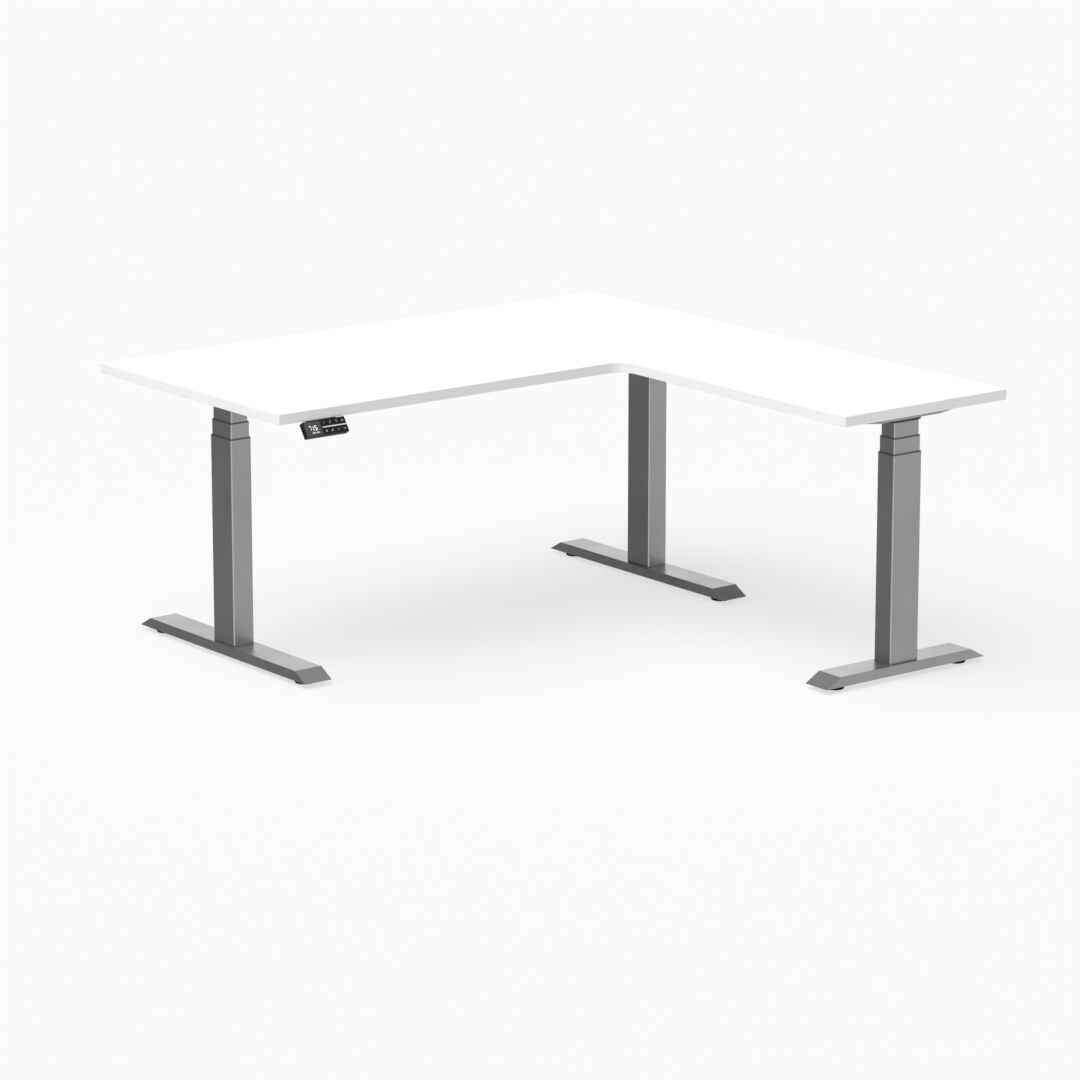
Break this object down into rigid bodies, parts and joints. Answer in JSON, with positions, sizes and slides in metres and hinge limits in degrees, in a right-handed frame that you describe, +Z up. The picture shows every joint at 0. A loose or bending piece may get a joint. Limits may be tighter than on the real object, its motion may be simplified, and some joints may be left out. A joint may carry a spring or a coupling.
{
  "type": "height adjustable standing desk",
  "caption": "L-shaped electric sit-stand desk: white board on telescopic lifting columns with T-feet, and a tilted keypad under its front edge.",
  "frame": {"origin": "on the floor, under the middle of the board's bounding box", "axes": "+X to the right along the main arm, +Y to the back, +Z up; the user sits in the notch towards -X and -Y"},
  "size_m": [1.5, 1.55, 0.665],
  "materials": {
    "white_melamine": "white melamine faced board, satin",
    "powder_coated_steel": "fine textured dark grey powder coat",
    "bright_steel": "ground and oiled",
    "black_nylon": "moulded black nylon",
    "black_plastic": "fine matt moulded black plastic",
    "white_acetal": "machined white acetal",
    "smoked_lens": "dark glossy window",
    "gearbox_casting": "black coated casting"
  },
  "bodies": {
    "base": {"foot_left": "powder_coated_steel", "foot_corner": "powder_coated_steel", "foot_right": "powder_coated_steel", "outer_tube_left": "powder_coated_steel", "outer_tube_corner": "powder_coated_steel", "outer_tube_right": "powder_coated_steel", "outer_collar_left": "black_nylon", "outer_collar_corner": "black_nylon", "outer_collar_right": "black_nylon", "base_screw_left": "bright_steel", "base_screw_corner": "bright_steel", "base_screw_right": "bright_steel"},
    "mid_left": {"mid_tube_left": "powder_coated_steel", "mid_collar_left": "black_nylon"},
    "mid_corner": {"mid_tube_corner": "powder_coated_steel", "mid_collar_corner": "black_nylon"},
    "mid_right": {"mid_tube_right": "powder_coated_steel", "mid_collar_right": "black_nylon"},
    "top": {"desktop_panel": "white_melamine", "desktop_edge_band": "white_melamine", "inner_tube_left": "powder_coated_steel", "inner_tube_corner": "powder_coated_steel", "inner_tube_right": "powder_coated_steel", "lift_nut_left": "white_acetal", "lift_nut_corner": "white_acetal", "lift_nut_right": "white_acetal", "motor_left": "gearbox_casting", "motor_corner": "gearbox_casting", "motor_right": "gearbox_casting", "support_arm_left": "powder_coated_steel", "support_arm_corner": "powder_coated_steel", "support_arm_right": "powder_coated_steel", "main_beam_outer": "powder_coated_steel", "main_beam_inner": "powder_coated_steel", "return_beam_outer": "powder_coated_steel", "return_beam_inner": "powder_coated_steel", "control_box": "black_plastic", "keypad_housing": "black_plastic", "keypad_lens": "smoked_lens"},
    "spindle_left": {"spindle_left": "bright_steel"},
    "spindle_corner": {"spindle_corner": "bright_steel"},
    "spindle_right": {"spindle_right": "bright_steel"},
    "drive_tube_left": {"drive_tube_left": "bright_steel"},
    "drive_tube_corner": {"drive_tube_corner": "bright_steel"},
    "drive_tube_right": {"drive_tube_right": "bright_steel"},
    "glide_left_a": {"glide_left_a": "black_nylon"},
    "glide_left_b": {"glide_left_b": "black_nylon"},
    "glide_corner_a": {"glide_corner_a": "black_nylon"},
    "glide_corner_b": {"glide_corner_b": "black_nylon"},
    "glide_right_a": {"glide_right_a": "black_nylon"},
    "glide_right_b": {"glide_right_b": "black_nylon"},
    "key_upper_1": {"key_upper_1": "black_plastic"},
    "key_upper_2": {"key_upper_2": "black_plastic"},
    "key_upper_3": {"key_upper_3": "black_plastic"},
    "key_upper_4": {"key_upper_4": "black_plastic"},
    "key_lower_1": {"key_lower_1": "black_plastic"},
    "key_lower_2": {"key_lower_2": "black_plastic"},
    "key_lower_3": {"key_lower_3": "black_plastic"},
    "key_lower_4": {"key_lower_4": "black_plastic"}
  },
  "joints": [
    {"name": "lift", "type": "slide", "parent": "mid_left", "child": "top", "axis": [0, 0, 1], "range_m": [-0.02, 0.305]},
    {"name": "stage_left", "type": "slide", "parent": "base", "child": "mid_left", "axis": [0, 0, 1], "range_m": [-0.02, 0.305]},
    {"name": "stage_corner", "type": "slide", "parent": "base", "child": "mid_corner", "axis": [0, 0, 1], "range_m": [-0.02, 0.305]},
    {"name": "stage_right", "type": "slide", "parent": "base", "child": "mid_right", "axis": [0, 0, 1], "range_m": [-0.02, 0.305]},
    {"name": "spindle_left_turn", "type": "hinge", "parent": "mid_left", "child": "spindle_left", "pos_m": [-0.63, 0.4, 0.3], "axis": [0, 0, 1], "range_deg": [-730, 10990]},
    {"name": "drive_tube_left_turn", "type": "hinge", "parent": "top", "child": "drive_tube_left", "pos_m": [-0.63, 0.4, 0.3], "axis": [0, 0, 1], "range_deg": [-730, 10990]},
    {"name": "spindle_corner_turn", "type": "hinge", "parent": "mid_corner", "child": "spindle_corner", "pos_m": [0.63, 0.4, 0.3], "axis": [0, 0, 1], "range_deg": [-730, 10990]},
    {"name": "drive_tube_corner_turn", "type": "hinge", "parent": "top", "child": "drive_tube_corner", "pos_m": [0.63, 0.4, 0.3], "axis": [0, 0, 1], "range_deg": [-730, 10990]},
    {"name": "spindle_right_turn", "type": "hinge", "parent": "mid_right", "child": "spindle_right", "pos_m": [0.5, -0.6845, 0.3], "axis": [0, 0, 1], "range_deg": [-730, 10990]},
    {"name": "drive_tube_right_turn", "type": "hinge", "parent": "top", "child": "drive_tube_right", "pos_m": [0.5, -0.6845, 0.3], "axis": [0, 0, 1], "range_deg": [-730, 10990]},
    {"name": "glide_left_a_turn", "type": "hinge", "parent": "base", "child": "glide_left_a", "pos_m": [-0.63, 0.108, 0], "axis": [0, 0, 1], "range_deg": [0, 2160]},
    {"name": "glide_left_b_turn", "type": "hinge", "parent": "base", "child": "glide_left_b", "pos_m": [-0.63, 0.692, 0], "axis": [0, 0, 1], "range_deg": [0, 2160]},
    {"name": "glide_corner_a_turn", "type": "hinge", "parent": "base", "child": "glide_corner_a", "pos_m": [0.63, 0.692, 0], "axis": [0, 0, 1], "range_deg": [0, 2160]},
    {"name": "glide_corner_b_turn", "type": "hinge", "parent": "base", "child": "glide_corner_b", "pos_m": [0.63, 0.108, 0], "axis": [0, 0, 1], "range_deg": [0, 2160]},
    {"name": "glide_right_a_turn", "type": "hinge", "parent": "base", "child": "glide_right_a", "pos_m": [0.691, -0.6845, 0], "axis": [0, 0, 1], "range_deg": [0, 2160]},
    {"name": "glide_right_b_turn", "type": "hinge", "parent": "base", "child": "glide_right_b", "pos_m": [0.309, -0.6845, 0], "axis": [0, 0, 1], "range_deg": [0, 2160]},
    {"name": "key_upper_1_press", "type": "slide", "parent": "top", "child": "key_upper_1", "axis": [0, 0.829, -0.5592], "range_m": [0, 0.0008], "stiffness_N_per_m": 300, "springref_m": -0.0005},
    {"name": "key_upper_2_press", "type": "slide", "parent": "top", "child": "key_upper_2", "axis": [0, 0.829, -0.5592], "range_m": [0, 0.0008], "stiffness_N_per_m": 300, "springref_m": -0.0005},
    {"name": "key_upper_3_press", "type": "slide", "parent": "top", "child": "key_upper_3", "axis": [0, 0.829, -0.5592], "range_m": [0, 0.0008], "stiffness_N_per_m": 300, "springref_m": -0.0005},
    {"name": "key_upper_4_press", "type": "slide", "parent": "top", "child": "key_upper_4", "axis": [0, 0.829, -0.5592], "range_m": [0, 0.0008], "stiffness_N_per_m": 300, "springref_m": -0.0005},
    {"name": "key_lower_1_press", "type": "slide", "parent": "top", "child": "key_lower_1", "axis": [0, 0.829, -0.5592], "range_m": [0, 0.0008], "stiffness_N_per_m": 300, "springref_m": -0.0005},
    {"name": "key_lower_2_press", "type": "slide", "parent": "top", "child": "key_lower_2", "axis": [0, 0.829, -0.5592], "range_m": [0, 0.0008], "stiffness_N_per_m": 300, "springref_m": -0.0005},
    {"name": "key_lower_3_press", "type": "slide", "parent": "top", "child": "key_lower_3", "axis": [0, 0.829, -0.5592], "range_m": [0, 0.0008], "stiffness_N_per_m": 300, "springref_m": -0.0005},
    {"name": "key_lower_4_press", "type": "slide", "parent": "top", "child": "key_lower_4", "axis": [0, 0.829, -0.5592], "range_m": [0, 0.0008], "stiffness_N_per_m": 300, "springref_m": -0.0005}
  ],
  "couplings": [
    {"joint": "stage_left", "follows": "lift", "ratio": 1},
    {"joint": "stage_corner", "follows": "lift", "ratio": 1},
    {"joint": "stage_right", "follows": "lift", "ratio": 1},
    {"joint": "spindle_left_turn", "follows": "lift", "rad_per_m": 628.32},
    {"joint": "drive_tube_left_turn", "follows": "lift", "rad_per_m": 628.32},
    {"joint": "spindle_corner_turn", "follows": "lift", "rad_per_m": 628.32},
    {"joint": "drive_tube_corner_turn", "follows": "lift", "rad_per_m": 628.32},
    {"joint": "spindle_right_turn", "follows": "lift", "rad_per_m": 628.32},
    {"joint": "drive_tube_right_turn", "follows": "lift", "rad_per_m": 628.32}
  ]
}
